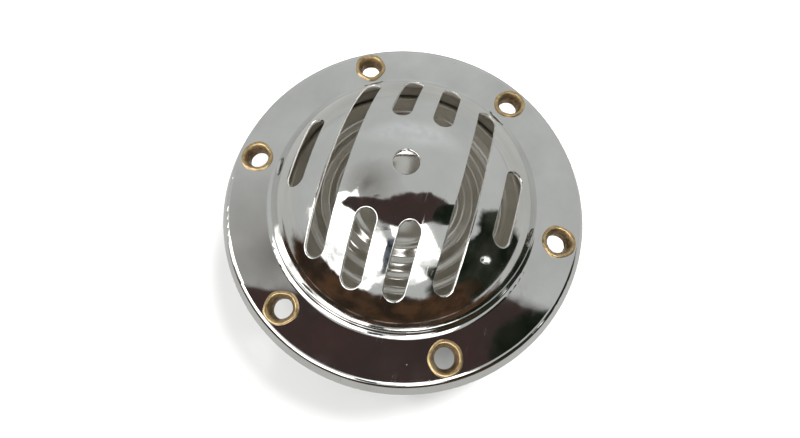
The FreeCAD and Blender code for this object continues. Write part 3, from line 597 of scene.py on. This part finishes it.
def diaphragm_profile(hole, rim, rim_top):
    """(radius, z) along the sheet's front: flat hub, ridges, a soft step down and the clamped rim."""
    wave_start = FIRST_CREST - RIDGE_PITCH / 2
    wave_end = wave_start + RIDGES * RIDGE_PITCH
    radii = [hole]
    for end, steps in ((wave_start, 6), (wave_end, 96), (FLAT_START, 40), (rim, 8)):
        start = radii[-1]
        radii += [start + (end - start) * i / steps for i in range(1, steps + 1)]
    profile = []
    for radius in radii:
        z = HUB_TOP
        if wave_start < radius < wave_end:
            z += RIDGE_RISE * ridge((radius - wave_start) / RIDGE_PITCH)
        share = max(0.0, min(1.0, (radius - STEP_TOP) / (STEP_FOOT - STEP_TOP)))
        z += (rim_top - HUB_TOP) * share * share * (3 - 2 * share)
        profile.append((radius, z))
    return profile


def make_diaphragm(material):
    """The ribbed diaphragm: clamped at its rim and carried by the armature at its hub."""
    washer_low, washer_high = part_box("front_gasket")
    stud_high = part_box("armature_stud")[1]
    front = diaphragm_profile(stud_high.x + HUB_GAP, washer_high.x, washer_low.z)
    closed = front + [(radius, z - SHEET) for radius, z in reversed(front)]
    rings = turned_rings((0, 0), closed, 256)
    mesh = grid_mesh("diaphragm_sheet", lambda bm: add_rings(bm, rings, closed=True))
    mesh = punched(mesh, PUNCHED_HOLE)
    piece = new_piece("diaphragm_sheet", mesh, material, None, ("diaphragm",), sharp=50)
    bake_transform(piece)


def punched(mesh, hole_radius):
    """The mesh with the eyelets' six holes cut through it."""
    def rods(bm):
        for index in range(EYELET_COUNT):
            centre = on_circle((0, 0), EYELET_PITCH_RADIUS, 0, FULL_TURN * index / EYELET_COUNT)
            rod = ((hole_radius, -5 * MM), (hole_radius, 5 * MM))
            made = add_rings(bm, turned_rings(centre, rod, 48), closed=False)
            for ring in made:
                bm.faces.new(ring)

    scene = bpy.context.scene.collection
    blank = bpy.data.objects.new("blank", mesh)
    cutter = bpy.data.objects.new("cutter", grid_mesh("cutter", rods))
    scene.objects.link(blank)
    scene.objects.link(cutter)
    cut = blank.modifiers.new("cut", "BOOLEAN")
    cut.object = cutter
    cut.solver = "EXACT"
    bpy.context.view_layer.update()
    result = bpy.data.meshes.new_from_object(blank.evaluated_get(bpy.context.evaluated_depsgraph_get()))
    for part in (blank, cutter):
        bpy.data.objects.remove(part)
    return result


# ---------------------------------------------------------------- nuts and studs

NUT_STEPS = 96
NUT_CHAMFER_SHARE = 0.97
NUT_CHAMFER_SLOPE = math.tan(math.radians(30))
NUT_LEAD_IN = 0.25 * MM
NUT_REACH = 8 * MM
SMALL_NUT_HOLE = 2.05 * MM
HUB_NUT_HOLE = 2.55 * MM

def make_nut(name, node, part, hole, body, material, replaced):
    """A chamfered hexagon nut; part is the centre of one of the node's solids, if it has two."""
    low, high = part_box(node)
    centre = part or ((low.x + high.x) / 2, (low.y + high.y) / 2)
    flats, flat_angle = nut_across(node, centre)
    chamfer_start = flats * NUT_CHAMFER_SHARE

    def edge(angle):
        off_flat = (angle - flat_angle + math.pi / 6) % (math.pi / 3) - math.pi / 6
        return flats / math.cos(off_flat)

    def ring(make_radius, make_z):
        angles = (FULL_TURN * i / NUT_STEPS for i in range(NUT_STEPS))
        return [on_circle(centre, make_radius(a), make_z(a), a) for a in angles]

    def drop(angle):
        return max(0.0, edge(angle) - chamfer_start) * NUT_CHAMFER_SLOPE

    rings = [
        ring(lambda a: hole, lambda a: low.z + NUT_LEAD_IN),
        ring(lambda a: hole + NUT_LEAD_IN, lambda a: low.z),
        ring(lambda a: chamfer_start, lambda a: low.z),
        ring(edge, lambda a: low.z + drop(a)),
        ring(edge, lambda a: high.z - drop(a)),
        ring(lambda a: chamfer_start, lambda a: high.z),
        ring(lambda a: hole + NUT_LEAD_IN, lambda a: high.z),
        ring(lambda a: hole, lambda a: high.z - NUT_LEAD_IN),
    ]
    mesh = grid_mesh(name, lambda bm: add_rings(bm, rings, closed=True))
    return new_piece(name, mesh, material, body, replaced, sharp=24)


def nut_across(node, centre):
    """Half the width across flats of the node's nut at centre, and the angle of one flat."""
    farthest, angle = 0.0, 0.0
    for vertex in nodes[node].data.vertices:
        reach = Vector((vertex.co.x - centre[0], vertex.co.y - centre[1]))
        if farthest < reach.length < NUT_REACH:
            farthest, angle = reach.length, math.atan2(reach.y, reach.x)
    return farthest * math.cos(math.pi / 6), angle + math.pi / 6


def threaded(centre, radius, low, high, pitch, steps=48):
    """Rings of a screw thread's surface from low to high, its ends run out to a plain round."""
    depth = 0.6 * pitch
    rows = max(4, round((high - low) / pitch * 8))
    rings = []
    for row in range(rows + 1):
        z = low + (high - low) * row / rows
        end = min(1.0, (z - low) / pitch, (high - z) / pitch)
        ring = []
        for i in range(steps):
            phase = (z / pitch - i / steps) % 1
            cut = abs(2 * phase - 1) * depth * max(0.0, end)
            taper = 0.3 * MM * max(0.0, 1 - (z - low) / (0.4 * MM)) if row < rows / 2 else 0.0
            ring.append(on_circle(centre, radius - cut - taper, z, FULL_TURN * i / steps))
        rings.append(ring)
    return rings


STUD_THREAD_RADIUS = 1.9 * MM
STUD_PITCH = 0.7 * MM
STUD_GROOVE = 0.8 * MM
STUD_GROOVE_RADIUS = 1.6 * MM
STUD_STEP = 0.05 * MM
STUD_SHANK_RADIUS = 1.98 * MM
TERMINAL_HEAD_RADIUS = 3.4 * MM
HEAD_CHAMFER = 0.3 * MM


def make_studs(material):
    """The two terminal studs: a thread that ends in a small chamfer, and the head inside the housing."""
    low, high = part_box("terminal_studs")
    nut_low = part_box("terminal_nuts")[0]
    insulator_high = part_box("terminal_inner_insulator")[1]
    y = (high.y - low.y) / 2 - TERMINAL_HEAD_RADIUS
    x = (low.x + high.x) / 2
    head = high.x - x

    def build(bm):
        for side in (-1, 1):
            centre = (x, side * y)
            rings = threaded(centre, STUD_THREAD_RADIUS, low.z, nut_low.z - STUD_GROOVE, STUD_PITCH)
            plain = [(STUD_GROOVE_RADIUS, nut_low.z - STUD_GROOVE + STUD_STEP)]
            plain += [(STUD_GROOVE_RADIUS, nut_low.z - STUD_STEP)]
            plain += [(STUD_SHANK_RADIUS, nut_low.z), (STUD_SHANK_RADIUS, insulator_high.z)]
            rings += turned_rings(centre, plain, 48)
            cap = [(head, insulator_high.z), (head, high.z - HEAD_CHAMFER)]
            cap += [(head - HEAD_CHAMFER, high.z)]
            rings += turned_rings(centre, cap, 48)
            made = add_rings(bm, rings, closed=False)
            bm.faces.new(made[0])
            bm.faces.new(made[-1])

    mesh = grid_mesh("terminal_studs_threaded", build)
    new_piece("terminal_studs_threaded", mesh, material, "housing", ("terminal_studs",), sharp=30)
    return x, y


def make_fastenings(materials):
    """The terminals' studs and nuts, the adjuster's lock nut and the hub's nut."""
    x, y = make_studs(materials["brass"])
    for side, name in ((-1, "terminal_nut_a"), (1, "terminal_nut_b")):
        make_nut(name, "terminal_nuts", (x, side * y), SMALL_NUT_HOLE, "housing",
                 materials["brass"], ("terminal_nuts",))
    make_nut("lock_nut", "adjuster_lock_nut", None, SMALL_NUT_HOLE, "housing",
             materials["bright_steel"], ("adjuster_lock_nut",))
    make_nut("hub_nut_chamfered", "hub_nut", None, HUB_NUT_HOLE, "armature",
             materials["bright_steel"], ("hub_nut",))


# ---------------------------------------------------------------- stage

ROOM_GREY = (0.53, 0.54, 0.53)
DARK_RED = (0.055, 0.034, 0.031)
DARK_BROWN = (0.085, 0.045, 0.024)
DARK_GREEN = (0.008, 0.012, 0.007)
DIM_GREY = (0.21, 0.20, 0.185)
WINDOW_WHITE = (4.2, 4.2, 4.1)
PAPER_WHITE = (0.66, 0.68, 0.68)
FLOOR_HALF = 1.5

def make_floor():
    """A plain pale floor at the horn's lowest point."""
    mesh = bpy.data.meshes.new("floor")
    half, z = FLOOR_HALF, cad_low.z
    corners = [(-half, -half, z), (half, -half, z), (half, half, z), (-half, half, z)]
    mesh.from_pydata(corners, [], [(0, 1, 2, 3)])
    f = Finish("floor_paper", roughness=0.9)
    f.paint(f.blend(f.noise(40, 3), (0.56, 0.56, 0.555), (0.53, 0.53, 0.525)))
    f.bump((f.noise(0.6, 3), 0.01))
    mesh.materials.append(f.material)
    floor = bpy.data.objects.new("floor", mesh)
    bpy.context.scene.collection.objects.link(floor)


def make_world():
    """An even pale grey room."""
    world = bpy.data.worlds.new("studio")
    world.use_nodes = True
    world.node_tree.nodes["Background"].inputs["Color"].default_value = (*ROOM_GREY, 1)
    bpy.context.scene.world = world
    bpy.context.scene.view_settings.view_transform = "Standard"


def area_light(name, at, size, power):
    """A soft light on the object and the floor, which polished metal doesn't mirror."""
    data = bpy.data.lights.new(name, "AREA")
    data.shape = "DISK"
    data.size = size
    data.energy = power
    light = bpy.data.objects.new(name, data)
    bpy.context.scene.collection.objects.link(light)
    light.location = at
    light.rotation_mode = "QUATERNION"
    light.rotation_quaternion = (-Vector(at)).to_track_quat("-Z", "Y")
    light.visible_glossy = False
    light.visible_camera = False


def glow(name, colour, other, patch_mm, soft):
    """A card's light: two colours in soft patches, fading out towards the card's edge."""
    material = bpy.data.materials.new(name)
    material.use_nodes = True
    tree = material.node_tree
    tree.nodes.clear()
    f = Finish.__new__(Finish)
    f.material, f.tree = material, tree
    f.place = f.node("ShaderNodeTexCoord").outputs["Object"]
    light = f.node("ShaderNodeEmission")
    patches = f.noise(patch_mm, 3, 0.55)
    f.put(light.inputs["Color"], f.blend(f.span(patches, 0.4, 0.62), colour, other))
    fade = f.node("ShaderNodeAttribute", attribute_name="fade").outputs["Fac"]
    ragged = f.math("ADD", fade, f.span(patches, 0.3, 0.7, -0.12, 0.12))
    clear = f.node("ShaderNodeBsdfTransparent")
    mixed = f.node("ShaderNodeMixShader")
    f.put(mixed.inputs[0], f.span(ragged, 0.05, 0.05 + soft))
    f.put(mixed.inputs[1], clear.outputs[0])
    f.put(mixed.inputs[2], light.outputs[0])
    f.put(f.node("ShaderNodeOutputMaterial").inputs["Surface"], mixed.outputs[0])
    return material


CARD_STEPS = 24


def card(name, place, fade, material):
    """A studio card that only polished surfaces see. place(u, v) and fade(u, v) take -1 to 1 each way."""
    bm = bmesh.new()
    layer = bm.verts.layers.float.new("fade")
    rows = []
    for i in range(CARD_STEPS + 1):
        row = []
        for j in range(CARD_STEPS + 1):
            u, v = 2 * i / CARD_STEPS - 1, 2 * j / CARD_STEPS - 1
            vertex = bm.verts.new(place(u, v))
            vertex[layer] = fade(u, v)
            row.append(vertex)
        rows.append(row)
    for a, b in zip(rows, rows[1:]):
        for i in range(CARD_STEPS):
            bm.faces.new((a[i], a[i + 1], b[i + 1], b[i]))
    mesh = bpy.data.meshes.new(name)
    bm.to_mesh(mesh)
    bm.free()
    mesh.materials.append(material)
    made = bpy.data.objects.new(name, mesh)
    bpy.context.scene.collection.objects.link(made)
    made.visible_camera = made.visible_diffuse = made.visible_shadow = False
    made.visible_transmission = made.visible_volume_scatter = False


def square_fade(u, v):
    return 1 - max(abs(u), abs(v))


def round_fade(u, v):
    return 1 - min(1, math.hypot(u, v))


def overhead(name, x_mm, y_mm, half_x_mm, half_y_mm, turn, height_mm, material):
    """A level oval card over the horn, turned by that many degrees."""
    c, s = math.cos(math.radians(turn)), math.sin(math.radians(turn))

    def place(u, v):
        a, b = u * half_x_mm, v * half_y_mm
        return Vector((x_mm + a * c - b * s, y_mm + a * s + b * c, height_mm)) * MM

    card(name, place, round_fade, material)


def facing(name, zenith, azimuth, half_wide, half_high, turn, distance, material, fade=square_fade):
    """A flat card that faces the horn from a direction; all angles are in degrees."""
    z, a = math.radians(zenith), math.radians(azimuth)
    out = Vector((math.sin(z) * math.cos(a), math.sin(z) * math.sin(a), math.cos(z)))
    side = Vector((-math.sin(a), math.cos(a), 0))
    rise = out.cross(side)
    c, s = math.cos(math.radians(turn)), math.sin(math.radians(turn))
    wide, high = (distance * math.tan(math.radians(h)) for h in (half_wide, half_high))

    def place(u, v):
        a, b = u * wide, v * high
        return out * distance + side * (a * c - b * s) + rise * (a * s + b * c)

    card(name, place, fade, material)


def wall(name, radius_mm, start, end, top_mm, material):
    """A curved card standing on the floor round part of the horn, from start to end degrees."""
    foot = cad_low.z + 0.5 * MM

    def place(u, v):
        angle = math.radians(start + (end - start) * (u + 1) / 2)
        z = foot + (top_mm * MM - foot) * (v + 1) / 2
        return Vector((radius_mm * MM * math.cos(angle), radius_mm * MM * math.sin(angle), z))

    card(name, place, lambda u, v: min(1 - abs(u), (1 - v) / 2), material)


TABLE_NEAR = 56 * MM
TABLE_REACH = 1450 * MM


def table_top(material):
    """The table as polished metal sees it: a grey ring round the horn, dimmer than the lit floor."""
    def place(u, v):
        angle = math.pi * u
        radius = TABLE_NEAR + (TABLE_REACH - TABLE_NEAR) * (v + 1) / 2
        return Vector((radius * math.cos(angle), radius * math.sin(angle), cad_low.z + 0.4 * MM))

    card("table_top", place, lambda u, v: 1, material)


def dark_table(material, start, end, near_mm, far_mm):
    """Where the table beyond the paper is dark, on the camera's side."""
    def place(u, v):
        angle = math.radians(start + (end - start) * (u + 1) / 2)
        radius = (near_mm + (far_mm - near_mm) * (v + 1) / 2) * MM
        return Vector((radius * math.cos(angle), radius * math.sin(angle), cad_low.z + 0.8 * MM))

    card("table_dark", place, square_fade, material)


def make_studio():
    """What the chrome mirrors: a grey room, windows on one side, and a dark figure by the camera."""
    make_world()
    red = glow("figure_red", DARK_RED, (0.045, 0.034, 0.032), 30, 0.10)
    brown = glow("room_brown", DARK_BROWN, (0.03, 0.02, 0.013), 38, 0.12)
    green = glow("room_green", DARK_GREEN, (0.035, 0.038, 0.028), 70, 0.10)
    dim = glow("room_dim", DIM_GREY, (0.36, 0.35, 0.33), 60, 0.9)
    pale = glow("room_pale", PAPER_WHITE, (0.58, 0.60, 0.60), 90, 0.5)
    window = glow("window", WINDOW_WHITE, (0.95, 0.96, 0.94), 170, 0.05)
    bar = glow("window_bar", (0.03, 0.035, 0.03), (0.12, 0.14, 0.18), 40, 0.2)
    table_top(glow("table_grey", (0.50, 0.50, 0.48), (0.56, 0.56, 0.55), 120, 0.05))
    overhead("figure_arm", -45, -43, 78, 19, 3, 124, red)
    overhead("figure_head", 22, -28, 70, 31, 22, 123, red)
    overhead("figure_side", 84, -16, 34, 22, 30, 122, green)
    overhead("ceiling_dim", -75, -5, 85, 70, 0, 150, dim)
    facing("ceiling_pale", 50, 100, 38, 14, 0, 1.0, pale, round_fade)
    facing("window_left", 56, -127, 36, 27, -12, 0.7, window)
    facing("window_right", 42, -60, 15, 27, 8, 0.7, window)
    facing("window_bar", 50, -88, 4.5, 17, 0, 0.5, bar)
    glint = glow("glint", WINDOW_WHITE, (0.1, 0.12, 0.1), 9, 0.5)
    facing("window_small", 79, -17, 2.6, 5, 25, 0.15, glint, round_fade)
    wall("room_low", 150, -158, -25, 36, brown)
    wall("room_right", 170, -62, 14, 120, green)
    dark_table(brown, -165, -10, 92, 150)
    area_light("key", (0.25, 0.35, 0.6), 0.35, 12)
    area_light("fill", (-0.5, -0.2, 0.7), 0.8, 11)


make_camera()
materials = make_materials()
for node in nodes.values():
    for slot in node.material_slots:
        slot.material = materials[slot.material.name.split(".")[0]]
make_eyelets(tarnished_shaded_brass())
make_diaphragm(materials["spring_steel"])
make_fastenings(materials)
make_floor()
make_studio()
